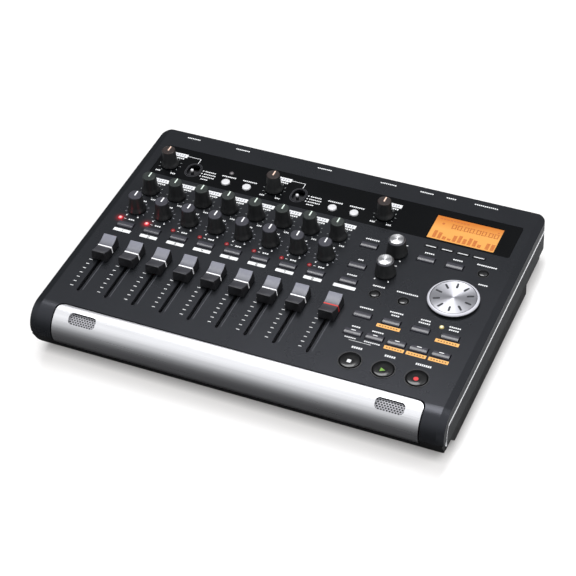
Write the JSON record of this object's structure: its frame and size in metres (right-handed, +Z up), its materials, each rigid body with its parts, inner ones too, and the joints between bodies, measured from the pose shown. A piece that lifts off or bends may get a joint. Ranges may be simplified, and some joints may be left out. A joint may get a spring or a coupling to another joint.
{
  "type": "digital multitrack recorder",
  "caption": "Desktop multitrack recorder: channel faders and knobs, an orange screen, data wheel, transport buttons, and a rounded silver front bar with microphones.",
  "frame": {"origin": "bottom centre of the bounding box, on the plane of the feet", "axes": "+X to the right as seen from the front, +Y to the rear, where the sockets are, +Z up"},
  "size_m": [0.291, 0.2074, 0.0515],
  "materials": {
    "case_plastic": "fine-grained charcoal moulding",
    "base_plastic": "fine-grained black moulding",
    "satin_bar": "satin silver",
    "side_plastic": "dark grey moulding",
    "bright_trim": "satin silver",
    "gloss_strip": "glossy near-black",
    "screen": "orange backlit screen",
    "grille_metal": "perforated steel",
    "board": "green solder mask",
    "pot_metal": "plated steel",
    "switch_plastic": "black switch bodies",
    "lamp": "clear red lens",
    "socket_plastic": "black socket moulding",
    "screw_steel": "black zinc",
    "foot_rubber": "matt rubber",
    "fader_plastic": "satin grey cap with a light line",
    "knob_plastic": "satin black",
    "knob_metal": "spun aluminium",
    "selector_plastic": "grey moulding",
    "key_plastic": "satin dark grey",
    "transport_plastic": "glossy black",
    "white_plastic": "glossy white"
  },
  "bodies": {
    "case": {"top_cover": "case_plastic", "bottom_cover": "base_plastic", "front_bar": "satin_bar", "side_panels": "side_plastic", "side_trims": "bright_trim", "display_panel": "gloss_strip", "display_module": "screen", "microphones": "grille_metal", "circuit_boards": "board", "slide_pots": "pot_metal", "rotary_pots": "pot_metal", "switches": "switch_plastic", "led_lenses": "lamp", "input_jacks": "socket_plastic", "rear_jacks": "socket_plastic", "case_screws": "screw_steel", "rubber_feet": "foot_rubber"},
    "fader_1": {"fader_1": "fader_plastic"},
    "fader_2": {"fader_2": "fader_plastic"},
    "fader_3": {"fader_3": "fader_plastic"},
    "fader_4": {"fader_4": "fader_plastic"},
    "fader_5": {"fader_5": "fader_plastic"},
    "fader_6": {"fader_6": "fader_plastic"},
    "fader_7": {"fader_7": "fader_plastic"},
    "fader_8": {"fader_8": "fader_plastic"},
    "fader_master": {"fader_master": "fader_plastic"},
    "send_knob_1": {"send_knob_1": "knob_plastic"},
    "send_knob_2": {"send_knob_2": "knob_plastic"},
    "send_knob_3": {"send_knob_3": "knob_plastic"},
    "send_knob_4": {"send_knob_4": "knob_plastic"},
    "send_knob_5": {"send_knob_5": "knob_plastic"},
    "send_knob_6": {"send_knob_6": "knob_plastic"},
    "send_knob_7": {"send_knob_7": "knob_plastic"},
    "send_knob_8": {"send_knob_8": "knob_plastic"},
    "pan_knob_1": {"pan_knob_1": "knob_plastic"},
    "pan_knob_2": {"pan_knob_2": "knob_plastic"},
    "pan_knob_3": {"pan_knob_3": "knob_plastic"},
    "pan_knob_4": {"pan_knob_4": "knob_plastic"},
    "pan_knob_5": {"pan_knob_5": "knob_plastic"},
    "pan_knob_6": {"pan_knob_6": "knob_plastic"},
    "pan_knob_7": {"pan_knob_7": "knob_plastic"},
    "pan_knob_8": {"pan_knob_8": "knob_plastic"},
    "gain_knob_a": {"gain_knob_a": "knob_plastic"},
    "gain_knob_b": {"gain_knob_b": "knob_plastic"},
    "phones_knob": {"phones_knob": "knob_plastic"},
    "upper_encoder_knob": {"upper_encoder_knob": "knob_metal"},
    "lower_encoder_knob": {"lower_encoder_knob": "knob_metal"},
    "data_wheel": {"data_wheel": "knob_metal"},
    "input_selector_a": {"input_selector_a": "selector_plastic"},
    "input_selector_b": {"input_selector_b": "selector_plastic"},
    "power_button": {"power_button": "key_plastic"},
    "stop_button": {"stop_button": "transport_plastic"},
    "play_button": {"play_button": "transport_plastic"},
    "record_button": {"record_button": "transport_plastic"},
    "arm_keys": {"arm_keys": "key_plastic"},
    "soft_keys": {"soft_keys": "key_plastic"},
    "menu_keys": {"menu_keys": "key_plastic"},
    "effect_keys": {"effect_keys": "key_plastic"},
    "locate_keys": {"locate_keys": "key_plastic"},
    "input_buttons": {"input_buttons": "white_plastic"}
  },
  "joints": [
    {"name": "fader_1_slide", "type": "slide", "parent": "case", "child": "fader_1", "axis": [0, 1, 0], "range_m": [-0.038, 0.007]},
    {"name": "fader_2_slide", "type": "slide", "parent": "case", "child": "fader_2", "axis": [0, 1, 0], "range_m": [-0.038, 0.007]},
    {"name": "fader_3_slide", "type": "slide", "parent": "case", "child": "fader_3", "axis": [0, 1, 0], "range_m": [-0.038, 0.007]},
    {"name": "fader_4_slide", "type": "slide", "parent": "case", "child": "fader_4", "axis": [0, 1, 0], "range_m": [-0.038, 0.007]},
    {"name": "fader_5_slide", "type": "slide", "parent": "case", "child": "fader_5", "axis": [0, 1, 0], "range_m": [-0.038, 0.007]},
    {"name": "fader_6_slide", "type": "slide", "parent": "case", "child": "fader_6", "axis": [0, 1, 0], "range_m": [-0.038, 0.007]},
    {"name": "fader_7_slide", "type": "slide", "parent": "case", "child": "fader_7", "axis": [0, 1, 0], "range_m": [-0.038, 0.007]},
    {"name": "fader_8_slide", "type": "slide", "parent": "case", "child": "fader_8", "axis": [0, 1, 0], "range_m": [-0.038, 0.007]},
    {"name": "fader_master_slide", "type": "slide", "parent": "case", "child": "fader_master", "axis": [0, 1, 0], "range_m": [-0.038, 0.007]},
    {"name": "send_knob_1_turn", "type": "hinge", "parent": "case", "child": "send_knob_1", "pos_m": [-0.1232, 0.03575, 0.038], "axis": [0, 0, 1], "range_deg": [-150, 150]},
    {"name": "send_knob_2_turn", "type": "hinge", "parent": "case", "child": "send_knob_2", "pos_m": [-0.10285, 0.03575, 0.038], "axis": [0, 0, 1], "range_deg": [-150, 150]},
    {"name": "send_knob_3_turn", "type": "hinge", "parent": "case", "child": "send_knob_3", "pos_m": [-0.0825, 0.03575, 0.038], "axis": [0, 0, 1], "range_deg": [-150, 150]},
    {"name": "send_knob_4_turn", "type": "hinge", "parent": "case", "child": "send_knob_4", "pos_m": [-0.06215, 0.03575, 0.038], "axis": [0, 0, 1], "range_deg": [-150, 150]},
    {"name": "send_knob_5_turn", "type": "hinge", "parent": "case", "child": "send_knob_5", "pos_m": [-0.0418, 0.03575, 0.038], "axis": [0, 0, 1], "range_deg": [-150, 150]},
    {"name": "send_knob_6_turn", "type": "hinge", "parent": "case", "child": "send_knob_6", "pos_m": [-0.02145, 0.03575, 0.038], "axis": [0, 0, 1], "range_deg": [-150, 150]},
    {"name": "send_knob_7_turn", "type": "hinge", "parent": "case", "child": "send_knob_7", "pos_m": [-0.0011, 0.03575, 0.038], "axis": [0, 0, 1], "range_deg": [-150, 150]},
    {"name": "send_knob_8_turn", "type": "hinge", "parent": "case", "child": "send_knob_8", "pos_m": [0.01925, 0.03575, 0.038], "axis": [0, 0, 1], "range_deg": [-150, 150]},
    {"name": "pan_knob_1_turn", "type": "hinge", "parent": "case", "child": "pan_knob_1", "pos_m": [-0.1232, 0.01415, 0.038], "axis": [0, 0, 1], "range_deg": [-150, 150]},
    {"name": "pan_knob_2_turn", "type": "hinge", "parent": "case", "child": "pan_knob_2", "pos_m": [-0.10285, 0.01415, 0.038], "axis": [0, 0, 1], "range_deg": [-150, 150]},
    {"name": "pan_knob_3_turn", "type": "hinge", "parent": "case", "child": "pan_knob_3", "pos_m": [-0.0825, 0.01415, 0.038], "axis": [0, 0, 1], "range_deg": [-150, 150]},
    {"name": "pan_knob_4_turn", "type": "hinge", "parent": "case", "child": "pan_knob_4", "pos_m": [-0.06215, 0.01415, 0.038], "axis": [0, 0, 1], "range_deg": [-150, 150]},
    {"name": "pan_knob_5_turn", "type": "hinge", "parent": "case", "child": "pan_knob_5", "pos_m": [-0.0418, 0.01415, 0.038], "axis": [0, 0, 1], "range_deg": [-150, 150]},
    {"name": "pan_knob_6_turn", "type": "hinge", "parent": "case", "child": "pan_knob_6", "pos_m": [-0.02145, 0.01415, 0.038], "axis": [0, 0, 1], "range_deg": [-150, 150]},
    {"name": "pan_knob_7_turn", "type": "hinge", "parent": "case", "child": "pan_knob_7", "pos_m": [-0.0011, 0.01415, 0.038], "axis": [0, 0, 1], "range_deg": [-150, 150]},
    {"name": "pan_knob_8_turn", "type": "hinge", "parent": "case", "child": "pan_knob_8", "pos_m": [0.01925, 0.01415, 0.038], "axis": [0, 0, 1], "range_deg": [-150, 150]},
    {"name": "gain_knob_a_turn", "type": "hinge", "parent": "case", "child": "gain_knob_a", "pos_m": [-0.1232, 0.06655, 0.038], "axis": [0, 0, 1], "range_deg": [-150, 150]},
    {"name": "gain_knob_b_turn", "type": "hinge", "parent": "case", "child": "gain_knob_b", "pos_m": [-0.0418, 0.06655, 0.038], "axis": [0, 0, 1], "range_deg": [-150, 150]},
    {"name": "phones_knob_turn", "type": "hinge", "parent": "case", "child": "phones_knob", "pos_m": [0.04115, 0.06655, 0.038], "axis": [0, 0, 1], "range_deg": [-150, 150]},
    {"name": "upper_encoder_knob_turn", "type": "hinge", "parent": "case", "child": "upper_encoder_knob", "pos_m": [0.0627, 0.03395, 0.038], "axis": [0, 0, 1], "continuous": true},
    {"name": "lower_encoder_knob_turn", "type": "hinge", "parent": "case", "child": "lower_encoder_knob", "pos_m": [0.0627, 0.01245, 0.038], "axis": [0, 0, 1], "continuous": true},
    {"name": "data_wheel_turn", "type": "hinge", "parent": "case", "child": "data_wheel", "pos_m": [0.1138, 0.00295, 0.038], "axis": [0, 0, 1], "continuous": true},
    {"name": "input_selector_a_slide", "type": "slide", "parent": "case", "child": "input_selector_a", "axis": [0, 1, 0], "range_m": [0, 0.004]},
    {"name": "input_selector_b_slide", "type": "slide", "parent": "case", "child": "input_selector_b", "axis": [0, 1, 0], "range_m": [0, 0.004]},
    {"name": "power_button_press", "type": "slide", "parent": "case", "child": "power_button", "axis": [0, -1, 0], "range_m": [0, 0.002], "stiffness_N_per_m": 300},
    {"name": "stop_button_press", "type": "slide", "parent": "case", "child": "stop_button", "axis": [0, 0, -1], "range_m": [0, 0.001], "stiffness_N_per_m": 300},
    {"name": "play_button_press", "type": "slide", "parent": "case", "child": "play_button", "axis": [0, 0, -1], "range_m": [0, 0.001], "stiffness_N_per_m": 300},
    {"name": "record_button_press", "type": "slide", "parent": "case", "child": "record_button", "axis": [0, 0, -1], "range_m": [0, 0.001], "stiffness_N_per_m": 300},
    {"name": "arm_keys_press", "type": "slide", "parent": "case", "child": "arm_keys", "axis": [0, 0, -1], "range_m": [0, 0.001], "stiffness_N_per_m": 300},
    {"name": "soft_keys_press", "type": "slide", "parent": "case", "child": "soft_keys", "axis": [0, 0, -1], "range_m": [0, 0.001], "stiffness_N_per_m": 300},
    {"name": "menu_keys_press", "type": "slide", "parent": "case", "child": "menu_keys", "axis": [0, 0, -1], "range_m": [0, 0.001], "stiffness_N_per_m": 300},
    {"name": "effect_keys_press", "type": "slide", "parent": "case", "child": "effect_keys", "axis": [0, 0, -1], "range_m": [0, 0.001], "stiffness_N_per_m": 300},
    {"name": "locate_keys_press", "type": "slide", "parent": "case", "child": "locate_keys", "axis": [0, 0, -1], "range_m": [0, 0.001], "stiffness_N_per_m": 300},
    {"name": "input_buttons_press", "type": "slide", "parent": "case", "child": "input_buttons", "axis": [0, 0, -1], "range_m": [0, 0.001], "stiffness_N_per_m": 300}
  ]
}
